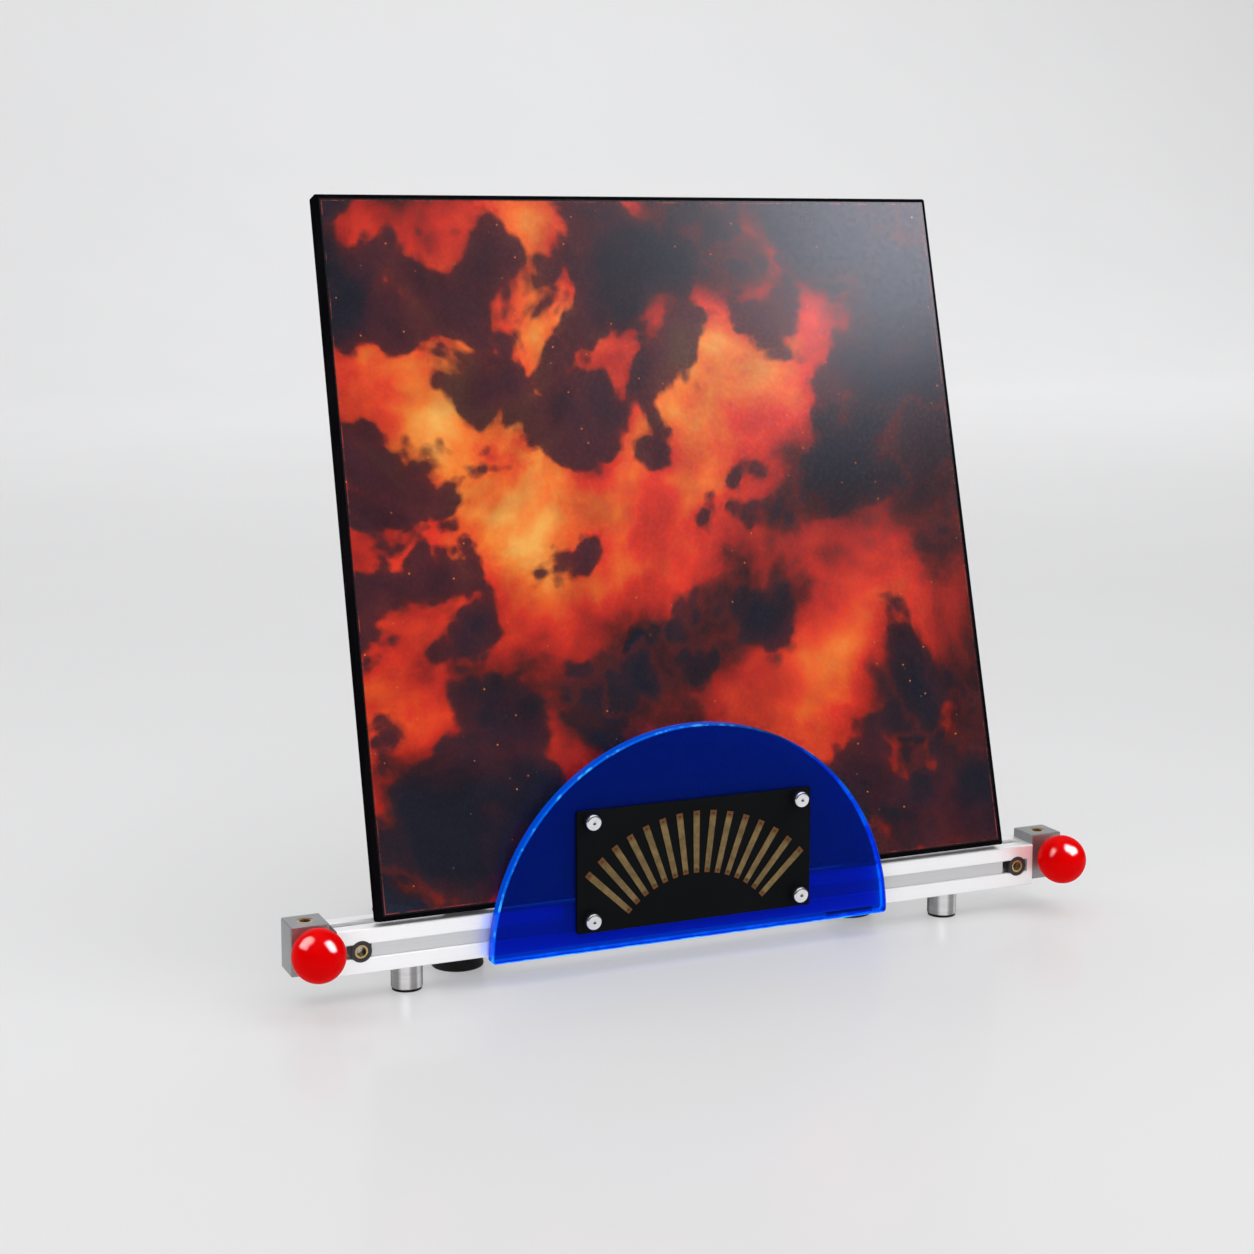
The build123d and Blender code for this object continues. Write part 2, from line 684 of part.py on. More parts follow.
def make_record_disc(layer):
    y, z = disc_middle(layer)
    disc = bar_y(0, z, DISC_R, y - DISC_T / 2, y + DISC_T / 2)
    disc = chamfer(disc.edges(), 0.4)
    return in_case(disc - bar_y(0, z, DISC_HOLE_R, y - DISC_T / 2, y + DISC_T / 2))


def make_disc_labels():
    labels = []
    for layer in (0, 1):
        y, z = disc_middle(layer)
        for face in (y - DISC_T / 2 - LABEL_T, y + DISC_T / 2):
            label = bar_y(0, z, LABEL_R, face, face + LABEL_T)
            labels.append(in_case(label - bar_y(0, z, DISC_HOLE_R, face, face + LABEL_T)))
    return group(labels)


def make_parts():
    parts = {
        "rail": make_rail(),
        "slot_cover_left": make_slot_cover(LOCK_X[0] + LOCK_R, COVER_LEFT_END),
        "slot_cover_right": make_slot_cover(COVER_RIGHT_START, COVER_RIGHT_END),
        "rail_foot_screws": make_foot_screws(),
        "rail_foot_nuts": make_foot_nuts(),
        "easel_nuts": make_easel_nuts(),
        "plate_nuts": make_plate_nuts(),
        "front_plate": make_front_plate(),
        "plate_screws": make_plate_screws(),
        "plate_spacers": make_plate_spacers(),
        "fan_panel": make_fan_panel(),
        "brass_strips": make_brass_strips(),
        "strip_pins": make_strip_pins(),
        "panel_screws": make_panel_screws(),
        "crossbar_low": make_crossbar_low(),
        "crossbar_high": make_crossbar_high(),
        "easel_screws": make_easel_screws(),
        "crossbar_screws": make_crossbar_screws(),
        "rubber_feet_front": make_rubber_feet(RUBBER_FRONT_Y),
        "rubber_feet_back": make_rubber_feet(RUBBER_BACK_Y),
        "rubber_foot_screws": make_rubber_foot_screws(),
        "record_case": make_record_case(),
        "cover_print": make_cover_print(),
        "inner_sleeve_front": make_inner_sleeve(0),
        "inner_sleeve_back": make_inner_sleeve(1),
        "record_disc_front": make_record_disc(0),
        "record_disc_back": make_record_disc(1),
        "disc_labels": make_disc_labels(),
    }
    for index, (side, sign) in enumerate(SIDES.items()):
        parts[f"end_cap_{side}"] = make_end_cap(sign)
        parts[f"end_block_{side}"] = make_end_block(sign)
        parts[f"rod_bush_{side}"] = make_rod_bush(sign)
        parts[f"lock_bush_{side}"] = make_lock_bush(LOCK_X[index])
        parts[f"lock_ring_{side}"] = make_lock_ring(LOCK_X[index])
        parts[f"lock_bolt_{side}"] = make_lock_bolt(sign, LOCK_X[index])
        parts[f"ball_knob_{side}"] = make_ball(sign)
        parts[f"knob_stud_{side}"] = make_stud(sign)
        parts[f"pressure_pad_{side}"] = make_pressure_pad(sign)
        parts[f"foot_{side}"] = make_foot(FOOT_X[index])
        parts[f"foot_pad_{side}"] = make_foot_pad(FOOT_X[index])
        parts[f"easel_strap_{side}"] = make_easel_strap(EASEL_X[index])
        parts[f"back_pad_{side}"] = make_back_pad(EASEL_X[index])
    return parts


os.makedirs("parts", exist_ok=True)
for node, shape in make_parts().items():
    export_step(Pos(0, -ORIGIN_Y, 0) * shape, f"parts/{node}.step")
print("origin moved by y", -ORIGIN_Y)
print("arm bend height", bend_height(RAIL_FACE, ARM_OFFSET), "arm length", arm_length())
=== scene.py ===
import math

import bpy
from mathutils import Matrix, Vector


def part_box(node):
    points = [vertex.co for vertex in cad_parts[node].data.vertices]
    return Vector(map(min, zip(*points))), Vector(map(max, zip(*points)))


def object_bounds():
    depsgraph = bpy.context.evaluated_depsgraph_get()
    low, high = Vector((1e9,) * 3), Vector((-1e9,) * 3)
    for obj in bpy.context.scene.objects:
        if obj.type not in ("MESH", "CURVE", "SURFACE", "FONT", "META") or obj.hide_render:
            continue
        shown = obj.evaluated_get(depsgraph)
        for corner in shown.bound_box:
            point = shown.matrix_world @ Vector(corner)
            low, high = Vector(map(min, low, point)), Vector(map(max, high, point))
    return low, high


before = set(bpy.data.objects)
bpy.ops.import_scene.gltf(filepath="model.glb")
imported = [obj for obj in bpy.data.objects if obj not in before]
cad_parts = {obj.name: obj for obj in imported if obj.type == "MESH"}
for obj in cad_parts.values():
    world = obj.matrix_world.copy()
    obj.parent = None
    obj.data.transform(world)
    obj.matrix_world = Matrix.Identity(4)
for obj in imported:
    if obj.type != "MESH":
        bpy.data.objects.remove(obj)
cad_low, cad_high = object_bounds()

# Metres. The easel's heels are the rearmost points, 124 mm behind the rail's middle.
RAIL_Y = cad_high[1] - 0.124
LEAN = math.radians(15)


# Node helpers

def new_material(name):
    """A new material with its default node tree, returned with the tree and its Principled shader."""
    material = bpy.data.materials.new(name)
    material.use_nodes = True
    tree = material.node_tree
    return material, tree, tree.nodes["Principled BSDF"]


def set_shader(shader, **values):
    """Sets sockets by name, with underscores for spaces."""
    for name, value in values.items():
        shader.inputs[name.replace("_", " ")].default_value = value


def add(tree, kind, **settings):
    node = tree.nodes.new(kind)
    for name, value in settings.items():
        setattr(node, name, value)
    return node


def coords(tree, scale=(1, 1, 1), turn=(0, 0, 0), shift=(0, 0, 0), kind="Object"):
    """Object coordinates in metres, moved, turned and scaled."""
    source = add(tree, "ShaderNodeTexCoord")
    mapping = add(tree, "ShaderNodeMapping")
    mapping.inputs["Location"].default_value = shift
    mapping.inputs["Rotation"].default_value = turn
    mapping.inputs["Scale"].default_value = scale
    tree.links.new(source.outputs[kind], mapping.inputs["Vector"])
    return mapping.outputs["Vector"]


def noise(tree, vector, scale, detail=4.0, rough=0.5, warp=0.0):
    node = add(tree, "ShaderNodeTexNoise")
    node.inputs["Scale"].default_value = scale
    node.inputs["Detail"].default_value = detail
    node.inputs["Roughness"].default_value = rough
    node.inputs["Distortion"].default_value = warp
    tree.links.new(vector, node.inputs["Vector"])
    return node.outputs["Fac"]


def ramp(tree, value, *stops, ease="LINEAR"):
    """A colour ramp through (place, colour) stops; a number stands for a grey."""
    node = add(tree, "ShaderNodeValToRGB")
    node.color_ramp.interpolation = ease
    steps = node.color_ramp.elements
    while len(steps) < len(stops):
        steps.new(0.5)
    for step, (place, colour) in zip(steps, stops):
        step.position = place
        step.color = (*colour, 1) if isinstance(colour, tuple) else (colour, colour, colour, 1)
    tree.links.new(value, node.inputs["Fac"])
    return node.outputs["Color"]


def math_node(tree, operation, first, second, clamp=False):
    node = add(tree, "ShaderNodeMath", operation=operation, use_clamp=clamp)
    for socket, value in zip(node.inputs, (first, second)):
        if isinstance(value, (int, float)):
            socket.default_value = value
        else:
            tree.links.new(value, socket)
    return node.outputs[0]


def blend_colour(tree, mode, amount, first, second):
    node = add(tree, "ShaderNodeMix", data_type="RGBA", blend_type=mode)
    for socket, value in zip((node.inputs[0], node.inputs[6], node.inputs[7]), (amount, first, second)):
        if isinstance(value, tuple):
            socket.default_value = (*value, 1)
        elif isinstance(value, (int, float)):
            socket.default_value = value
        else:
            tree.links.new(value, socket)
    return node.outputs[2]


def bump(tree, shader, height, strength, distance=0.0002):
    node = add(tree, "ShaderNodeBump")
    node.inputs["Strength"].default_value = strength
    node.inputs["Distance"].default_value = distance
    tree.links.new(height, node.inputs["Height"])
    tree.links.new(node.outputs["Normal"], shader.inputs["Normal"])


def split(tree, vector):
    node = add(tree, "ShaderNodeSeparateXYZ")
    tree.links.new(vector, node.inputs["Vector"])
    return node.outputs


def dress(material, *nodes):
    """Gives CAD nodes a material in place of their own."""
    for name in nodes:
        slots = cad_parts[name].material_slots
        for slot in slots:
            slot.material = material


# Metals

def drawn_aluminium(name, colour, grain, roughness):
    """Extruded or machined metal with fine lines along x."""
    material, tree, shader = new_material(name)
    set_shader(shader, Metallic=0.65)
    lines = noise(tree, coords(tree, scale=(6, grain, grain)), 1.0, 6, 0.62)
    cloud = noise(tree, coords(tree), 38.0, 4, 0.55)
    tone = blend_colour(tree, "MIX", 0.35, lines, cloud)
    shade = ramp(tree, tone, (0.3, tuple(c * 0.93 for c in colour)), (0.7, colour))
    tree.links.new(shade, shader.inputs["Base Color"])
    gloss = ramp(tree, tone, (0.3, roughness + 0.07), (0.7, roughness - 0.05))
    tree.links.new(gloss, shader.inputs["Roughness"])
    bump(tree, shader, lines, 0.10, 0.00005)
    return material


def blasted_aluminium():
    material, tree, shader = new_material("blasted_aluminium")
    set_shader(shader, Metallic=0.9)
    grain = noise(tree, coords(tree), 2600.0, 3, 0.6)
    cloud = noise(tree, coords(tree), 60.0, 4, 0.5)
    shade = ramp(tree, cloud, (0.3, (0.29, 0.29, 0.295)), (0.7, (0.36, 0.36, 0.37)))
    tree.links.new(shade, shader.inputs["Base Color"])
    tree.links.new(ramp(tree, grain, (0.3, 0.42), (0.7, 0.34)), shader.inputs["Roughness"])
    bump(tree, shader, grain, 0.12, 0.00004)
    return material


def turned_steel(node, colour, roughness, rings):
    """Lathe-turned metal: fine rings along z, and upright light and dark bands of painted reflection, set by the angle
    around z.
    """
    material, tree, shader = new_material(f"turned_steel_{node}")
    set_shader(shader, Metallic=1.0, Anisotropic=0.85)
    low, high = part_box(node)
    middle = (-(low[0] + high[0]) / 2, -(low[1] + high[1]) / 2, 0)
    place = split(tree, coords(tree, shift=middle))
    angle = math_node(tree, "DIVIDE", math_node(tree, "ARCTAN2", place["Y"], place["X"]), math.pi)
    turn = math_node(tree, "FRACT", math_node(tree, "ADD", angle, 1.10), 0)
    # Painted reflection: light and dark upright bands, multiplied into the colour by the angle around z.
    painted_reflection_bands = ramp(
        tree,
        turn,
        (0.06, 0.12),
        (0.14, 0.45),
        (0.32, 0.40),
        (0.40, 1.0),
        (0.54, 1.0),
        (0.60, 0.42),
        (0.70, 0.38),
        (0.76, 0.95),
        (0.84, 0.80),
        (0.92, 0.12),
    )
    around = add(tree, "ShaderNodeTangent", direction_type="RADIAL", axis="Z")
    tree.links.new(around.outputs[0], shader.inputs["Tangent"])
    lines = noise(tree, coords(tree, scale=(20, 20, rings)), 1.0, 5, 0.6)
    shade = ramp(tree, lines, (0.3, tuple(c * 0.86 for c in colour)), (0.7, colour))
    tree.links.new(blend_colour(tree, "MULTIPLY", 1.0, shade, painted_reflection_bands), shader.inputs["Base Color"])
    tree.links.new(ramp(tree, lines, (0.3, roughness + 0.08), (0.7, roughness - 0.04)), shader.inputs["Roughness"])
    bump(tree, shader, lines, 0.10, 0.00004)
    return material


def worn_metal(name, light, dark, roughness, size):
    """A metal whose surface has dull and bright patches."""
    material, tree, shader = new_material(name)
    set_shader(shader, Metallic=1.0)
    patches = noise(tree, coords(tree), size, 6, 0.6, 0.4)
    tree.links.new(ramp(tree, patches, (0.32, dark), (0.68, light)), shader.inputs["Base Color"])
    tree.links.new(ramp(tree, patches, (0.3, roughness + 0.12), (0.7, roughness)), shader.inputs["Roughness"])
    bump(tree, shader, noise(tree, coords(tree), size * 9, 3, 0.6), 0.08, 0.00004)
    return material


def aged_strips():
    """Dull brass with darker, redder ends where the pins are, by the distance from the fan's centre."""
    material, tree, shader = new_material("aged_strips")
    set_shader(shader, Metallic=0.9)
    patches = noise(tree, coords(tree), 210.0, 6, 0.65, 0.4)
    body = ramp(tree, patches, (0.32, (0.15, 0.10, 0.045)), (0.68, (0.29, 0.20, 0.085)))
    low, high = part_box("brass_strips")
    away = add(tree, "ShaderNodeVectorMath", operation="DISTANCE")
    flat = add(tree, "ShaderNodeVectorMath", operation="MULTIPLY")
    flat.inputs[1].default_value = (1, 0, 1)
    tree.links.new(coords(tree), flat.inputs[0])
    tree.links.new(flat.outputs[0], away.inputs[0])
    away.inputs[1].default_value = ((low[0] + high[0]) / 2, 0, high[2] - 0.0729)
    along = math_node(tree, "MULTIPLY", away.outputs["Value"], 10.0)
    ends = ramp(tree, along, (0.458, 1.0), (0.470, 0.0), (0.696, 0.0), (0.708, 1.0))
    shade = blend_colour(tree, "MIX", math_node(tree, "MULTIPLY", ends, 0.75), body, (0.16, 0.055, 0.022))
    tree.links.new(shade, shader.inputs["Base Color"])
    tree.links.new(ramp(tree, patches, (0.3, 0.46), (0.7, 0.34)), shader.inputs["Roughness"])
    bump(tree, shader, noise(tree, coords(tree), 1900.0, 3, 0.6), 0.08, 0.00004)
    return material


def capped_chrome(node, cap_depth):
    """Polished domes on dark shanks: chrome down to a depth behind the front, near-black below it."""
    material, tree, shader = new_material("capped_chrome")
    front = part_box(node)[0][1]
    deep = math_node(tree, "SUBTRACT", split(tree, coords(tree))["Y"], front)
    deep = math_node(tree, "MULTIPLY", deep, 0.5 / cap_depth)
    tree.links.new(ramp(tree, deep, (0.46, 1.0), (0.54, 0.2)), shader.inputs["Metallic"])
    swirl = noise(tree, coords(tree), 240.0, 4, 0.6)
    bright = ramp(tree, swirl, (0.3, (0.80, 0.80, 0.82)), (0.7, (0.90, 0.90, 0.91)))
    # Below the chrome depth the colour is near-black and barely metallic.
    shade = blend_colour(tree, "MIX", ramp(tree, deep, (0.46, 0.0), (0.54, 1.0)), bright, (0.012, 0.012, 0.014))
    tree.links.new(shade, shader.inputs["Base Color"])
    tree.links.new(ramp(tree, swirl, (0.3, 0.10), (0.7, 0.05)), shader.inputs["Roughness"])
    return material


def coated_steel():
    material, tree, shader = new_material("coated_steel")
    skin = noise(tree, coords(tree), 900.0, 3, 0.5)
    wear = noise(tree, coords(tree), 35.0, 5, 0.6)
    tree.links.new(ramp(tree, wear, (0.3, 0.016), (0.75, 0.028)), shader.inputs["Base Color"])
    tree.links.new(ramp(tree, wear, (0.3, 0.40), (0.7, 0.52)), shader.inputs["Roughness"])
    bump(tree, shader, skin, 0.25, 0.00008)
    return material


# Plastics, rubber

def moulded(name, light, dark, roughness, grain, depth, gloss=0.5):
    material, tree, shader = new_material(name)
    set_shader(shader, Specular_IOR_Level=gloss)
    cloud = noise(tree, coords(tree), 45.0, 4, 0.5)
    tree.links.new(ramp(tree, cloud, (0.3, dark), (0.7, light)), shader.inputs["Base Color"])
    fine = noise(tree, coords(tree), grain, 3, 0.6)
    tree.links.new(ramp(tree, fine, (0.3, roughness + 0.04), (0.7, roughness - 0.04)), shader.inputs["Roughness"])
    bump(tree, shader, fine, depth, 0.00006)
    return material


def ball_lacquer():
    material, tree, shader = new_material("ball_lacquer")
    set_shader(shader, Specular_IOR_Level=0.0, Roughness=0.5, Coat_Weight=0.2, Coat_Roughness=0.02, Coat_IOR=1.25)
    cloud = noise(tree, coords(tree), 70.0, 4, 0.5)
    tree.links.new(
        ramp(tree, cloud, (0.3, (0.76, 0.0005, 0.001)), (0.7, (0.84, 0.0005, 0.001))), shader.inputs["Base Color"]
    )
    return material


def blue_acrylic():
    """Clear through its faces; its bevels and edges carry a painted glow with painted glints, painted lighter on the
    left side and painted darker on the right.
    """
    material, tree, shader = new_material("blue_acrylic")
    set_shader(shader, IOR=1.12, Transmission_Weight=0.86, Specular_IOR_Level=0.06, Emission_Strength=1.0)
    side = split(tree, coords(tree, kind="Normal"))["Y"]
    facing = math_node(tree, "ABSOLUTE", side, 0)
    # Painted highlight: bevels get a lighter cyan blue than the faces.
    blue_and_painted_bevel_light = ramp(tree, facing, (0.0, (0.0, 0.16, 0.95)), (0.62, (0.01, 0.42, 1.0)), (0.98, (0.0, 0.045, 0.70)))
    across = split(tree, coords(tree, kind="Normal"))["X"]
    across = math_node(tree, "ADD", across, 0.5)
    # Painted shade: faces turned towards +x are darkened.
    painted_right_shade = ramp(tree, across, (0.55, 1.0), (0.95, 0.22))
    tree.links.new(blend_colour(tree, "MULTIPLY", 1.0, blue_and_painted_bevel_light, painted_right_shade), shader.inputs["Base Color"])
    # Painted glow: this edge colour drives the emission, so bevels and sides glow.
    edge = ramp(tree, facing, (0.0, (0.0, 0.045, 0.42)), (0.62, (0.0, 0.10, 0.85)), (0.96, (0.0, 0.0, 0.0)))
    # Painted glints: specks of brighter blue scattered along the bevels.
    painted_glint_noise = noise(tree, coords(tree), 130.0, 3, 0.6)
    painted_glint_mask = ramp(tree, facing, (0.3, 0.0), (0.6, 1.0), (0.8, 1.0), (0.92, 0.0))
    painted_glint_mask = math_node(tree, "MULTIPLY", painted_glint_mask, ramp(tree, painted_glint_noise, (0.50, 0.0), (0.60, 1.0)))
    edge = blend_colour(tree, "MIX", painted_glint_mask, edge, (0.04, 0.42, 1.0))
    # Painted light: the glow is full on the left and fades almost to nothing on the right.
    painted_left_light = ramp(tree, across, (0.40, 1.0), (0.75, 0.05))
    tree.links.new(blend_colour(tree, "MULTIPLY", 1.0, edge, painted_left_light), shader.inputs["Emission Color"])
    haze = noise(tree, coords(tree), 30.0, 5, 0.6)
    tree.links.new(ramp(tree, haze, (0.3, 0.02), (0.75, 0.05)), shader.inputs["Roughness"])
    return material


# Card, paper and vinyl

def spot(tree, vector, centre, radius):
    """1 at a centre (x and height up the cover), falling to 0 at the radius."""
    away = add(tree, "ShaderNodeVectorMath", operation="DISTANCE")
    flat = add(tree, "ShaderNodeVectorMath", operation="MULTIPLY")
    flat.inputs[1].default_value = (1, 0, 1)
    tree.links.new(vector, flat.inputs[0])
    tree.links.new(flat.outputs[0], away.inputs[0])
    away.inputs[1].default_value = (centre[0], 0, centre[1])
    near = math_node(tree, "DIVIDE", away.outputs["Value"], radius)
    return math_node(tree, "SUBTRACT", 1.0, near, clamp=True)


def warped(tree, vector, scale, amount):
    """A vector pushed about in the cover's plane by noise."""
    swirl = add(tree, "ShaderNodeTexNoise")
    swirl.inputs["Scale"].default_value = scale
    swirl.inputs["Detail"].default_value = 3.0
    tree.links.new(vector, swirl.inputs["Vector"])
    centred = add(tree, "ShaderNodeVectorMath", operation="SUBTRACT")
    tree.links.new(swirl.outputs["Color"], centred.inputs[0])
    centred.inputs[1].default_value = (0.5, 0.5, 0.5)
    moved = add(tree, "ShaderNodeVectorMath", operation="MULTIPLY_ADD")
    tree.links.new(centred.outputs[0], moved.inputs[0])
    moved.inputs[1].default_value = (amount, 0.0, amount)
    tree.links.new(vector, moved.inputs[2])
    return moved.outputs[0]


def cells(tree, vector, scale, detail=0.0, rough=0.5):
    """Distance to the nearest of scattered points, 0 at a point."""
    node = add(tree, "ShaderNodeTexVoronoi", feature="F1", normalize=detail > 0)
    node.inputs["Scale"].default_value = scale
    node.inputs["Detail"].default_value = detail
    node.inputs["Roughness"].default_value = rough
    tree.links.new(vector, node.inputs["Vector"])
    return node.outputs["Distance"]


def edge_distance(tree, vector, node):
    """Distance to the nearest edge of a leaning sheet, in centimetres."""
    low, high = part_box(node)
    length = (high[2] - low[2]) / math.cos(LEAN)
    bottom = low[1] * math.sin(LEAN) + low[2] * math.cos(LEAN)
    place = split(tree, vector)
    spans = (("X", (low[0] + high[0]) / 2, (high[0] - low[0]) / 2), ("Z", bottom + length / 2, length / 2))
    left = []
    for axis, middle, half in spans:
        away = math_node(tree, "ABSOLUTE", math_node(tree, "SUBTRACT", place[axis], middle), 0)
        left.append(math_node(tree, "SUBTRACT", half, away))
    return math_node(tree, "MULTIPLY", math_node(tree, "MINIMUM", *left), 100.0)


ART_DEPTH = 5.1
EMBERS = ((-0.085, 0.275, 0.11), (0.0, 0.205, 0.12), (0.095, 0.135, 0.11))


def cover_art():
    """An abstract of drifting ink: navy and wine banks over red, orange and a little amber."""
    material, tree, shader = new_material("cover_art")
    flat = coords(tree, turn=(LEAN, 0, 0))
    bent = warped(tree, coords(tree, turn=(LEAN, 0, 0), shift=(0, ART_DEPTH, 0)), 5.0, 0.10)
    loose = warped(tree, flat, 6.0, 0.10)
    glow = 0.0
    for x, z, reach in EMBERS:
        glow = math_node(tree, "MAXIMUM", spot(tree, loose, (x, z), reach), glow)
    puffs = cells(tree, bent, 15.0, 4, 0.55)
    heat = math_node(tree, "MULTIPLY", noise(tree, bent, 8.0, 8, 0.52), 1.15)
    heat = math_node(tree, "ADD", heat, math_node(tree, "MULTIPLY", puffs, 1.1))
    heat = math_node(tree, "ADD", heat, math_node(tree, "MULTIPLY", glow, 0.24))
    heat = math_node(tree, "SUBTRACT", heat, 0.41)
    navy = ramp(
        tree,
        heat,
        (0.30, (0.018, 0.023, 0.046)),
        (0.41, (0.010, 0.012, 0.025)),
        (0.455, (0.030, 0.010, 0.015)),
        (0.485, (0.12, 0.011, 0.009)),
        (0.55, (0.42, 0.012, 0.006)),
        (0.66, (0.80, 0.028, 0.006)),
        (0.77, (0.96, 0.16, 0.012)),
        (0.90, (1.0, 0.44, 0.075)),
    )
    wine = ramp(
        tree,
        heat,
        (0.34, (0.028, 0.010, 0.016)),
        (0.45, (0.058, 0.010, 0.012)),
        (0.51, (0.15, 0.011, 0.009)),
        (0.60, (0.50, 0.014, 0.006)),
        (0.71, (0.86, 0.050, 0.007)),
        (0.81, (0.98, 0.23, 0.018)),
        (0.91, (1.0, 0.50, 0.10)),
    )
    pick = ramp(tree, noise(tree, bent, 10.0, 5, 0.6), (0.46, 0.0), (0.54, 1.0))
    colour = blend_colour(tree, "MIX", pick, navy, wine)
    lobes = math_node(tree, "MULTIPLY", cells(tree, bent, 21.0, 3, 0.5), -1.5)
    bank = math_node(tree, "ADD", noise(tree, bent, 11.0, 2, 0.5), lobes)
    bank = math_node(tree, "SUBTRACT", bank, math_node(tree, "MULTIPLY", heat, 0.75))
    bank = math_node(tree, "ADD", bank, 0.85)
    bank = math_node(tree, "ADD", bank, math_node(tree, "MULTIPLY", noise(tree, bent, 42.0, 4, 0.6), 0.16))
    ink = ramp(tree, bank, (0.56, (0.13, 0.012, 0.010)), (0.63, (0.030, 0.012, 0.020)), (0.76, (0.010, 0.011, 0.023)))
    colour = blend_colour(tree, "MIX", ramp(tree, bank, (0.545, 0.0), (0.60, 0.92)), colour, ink)
    smoke = ramp(tree, noise(tree, bent, 30.0, 7, 0.6), (0.34, (0.50, 0.44, 0.50)), (0.58, (1.0, 1.0, 1.0)))
    colour = blend_colour(tree, "MULTIPLY", 0.65, colour, smoke)
    spark = ramp(tree, cells(tree, flat, 120.0), (0.03, 1.0), (0.06, 0.0))
    colour = blend_colour(tree, "MIX", spark, colour, (1.0, 0.24, 0.04))
    dust = ramp(tree, cells(tree, coords(tree, shift=(0.3, 0.2, 0.1)), 80.0), (0.012, 0.7), (0.025, 0.0))
    colour = blend_colour(tree, "MIX", dust, colour, (0.35, 0.33, 0.36))
    edge = edge_distance(tree, flat, "cover_print")
    colour = blend_colour(tree, "MIX", ramp(tree, edge, (0.05, 1.0), (0.09, 0.0)), colour, (0.003, 0.003, 0.004))
    rub = ramp(tree, noise(tree, flat, 60.0, 6, 0.75), (0.47, 0.0), (0.60, 0.9))
    line = ramp(tree, edge, (0.085, 0.0), (0.10, 1.0), (0.12, 1.0), (0.135, 0.0))
    colour = blend_colour(tree, "MIX", math_node(tree, "MULTIPLY", rub, line), colour, (0.42, 0.05, 0.035))
    tree.links.new(colour, shader.inputs["Base Color"])
    set_shader(shader, Specular_IOR_Level=0.35)
    weave = noise(tree, flat, 420.0, 4, 0.6)
    tree.links.new(ramp(tree, weave, (0.3, 0.30), (0.7, 0.24)), shader.inputs["Roughness"])
    bump(tree, shader, weave, 0.06, 0.00006)
    return material


def laminated_board():
    material, tree, shader = new_material("laminated_board")
    set_shader(shader, Specular_IOR_Level=0.0)
    rub = noise(tree, coords(tree, scale=(60, 60, 18)), 1.0, 8, 0.65)
    tree.links.new(
        ramp(tree, rub, (0.45, (0.003, 0.003, 0.004)), (0.66, (0.006, 0.005, 0.006)), (0.74, (0.12, 0.035, 0.03))),
        shader.inputs["Base Color"],
    )
    tree.links.new(ramp(tree, rub, (0.3, 0.30), (0.7, 0.48)), shader.inputs["Roughness"])
    bump(tree, shader, noise(tree, coords(tree), 380.0, 4, 0.6), 0.15, 0.00008)
    return material


def sleeve_paper():
    material, tree, shader = new_material("sleeve_paper")
    fibre = noise(tree, coords(tree), 700.0, 5, 0.65)
    tree.links.new(ramp(tree, fibre, (0.3, (0.66, 0.64, 0.58)), (0.7, (0.78, 0.76, 0.70))), shader.inputs["Base Color"])
    set_shader(shader, Roughness=0.75)
    bump(tree, shader, fibre, 0.2, 0.00006)
    return material


def disc_vinyl():
    material, tree, shader = new_material("disc_vinyl")
    groove = noise(tree, coords(tree), 3200.0, 2, 0.5)
    tree.links.new(ramp(tree, groove, (0.3, 0.008), (0.7, 0.014)), shader.inputs["Base Color"])
    tree.links.new(ramp(tree, groove, (0.3, 0.26), (0.7, 0.18)), shader.inputs["Roughness"])
    bump(tree, shader, groove, 0.2, 0.00004)
    return material


rail_metal = drawn_aluminium("rail_aluminium", (0.95, 0.95, 0.96), 1400, 0.36)
trim_metal = drawn_aluminium("trim_aluminium", (0.60, 0.605, 0.615), 1400, 0.42)
brass = worn_metal("brass", (0.78, 0.56, 0.26), (0.55, 0.36, 0.15), 0.24, 260.0)
zinc = worn_metal("zinc_steel", (0.62, 0.63, 0.65), (0.42, 0.43, 0.45), 0.28, 320.0)
black_steel = coated_steel()
rubber = moulded("rubber", (0.008, 0.008, 0.008), (0.004, 0.004, 0.004), 0.6, 1500.0, 0.3, 0.25)

dress(rail_metal, "rail", "end_cap_right")
dress(trim_metal, "slot_cover_left", "slot_cover_right")
dress(blasted_aluminium(), "end_block_left", "end_block_right")
dress(moulded("cap_plastic", (0.02, 0.02, 0.021), (0.012, 0.012, 0.013), 0.5, 900.0, 0.2), "end_cap_left")
dress(brass, "rod_bush_left", "rod_bush_right", "lock_ring_left", "lock_ring_right", "pressure_pad_left", "pressure_pad_right")
dress(aged_strips(), "brass_strips")
# Painted shade: the lock bolts are coloured dark red-brown to stand for the dim bore they are seen in.
dress(moulded("bolt_painted_bore_shade", (0.045, 0.010, 0.004), (0.018, 0.005, 0.003), 0.5, 900.0, 0.2, 0.2), "lock_bolt_left", "lock_bolt_right")
dress(black_steel, "lock_bush_left", "lock_bush_right", "easel_strap_left", "easel_strap_right", "crossbar_low", "crossbar_high")
dress(
    zinc,
    "knob_stud_left",
    "knob_stud_right",
    "rail_foot_screws",
    "rail_foot_nuts",
    "easel_nuts",
    "plate_nuts",
    "plate_screws",
    "easel_screws",
    "crossbar_screws",
    "rubber_foot_screws",
)
dress(ball_lacquer(), "ball_knob_left", "ball_knob_right")
for foot in ("foot_left", "foot_right"):
    dress(turned_steel(foot, (0.95, 0.94, 0.94), 0.30, 900), foot)
dress(rubber, "foot_pad_left", "foot_pad_right", "rubber_feet_front", "rubber_feet_back", "back_pad_left", "back_pad_right")
dress(blue_acrylic(), "front_plate")
dress(moulded("spacer_plastic", (0.05, 0.05, 0.055), (0.03, 0.03, 0.035), 0.5, 900.0, 0.2), "plate_spacers")
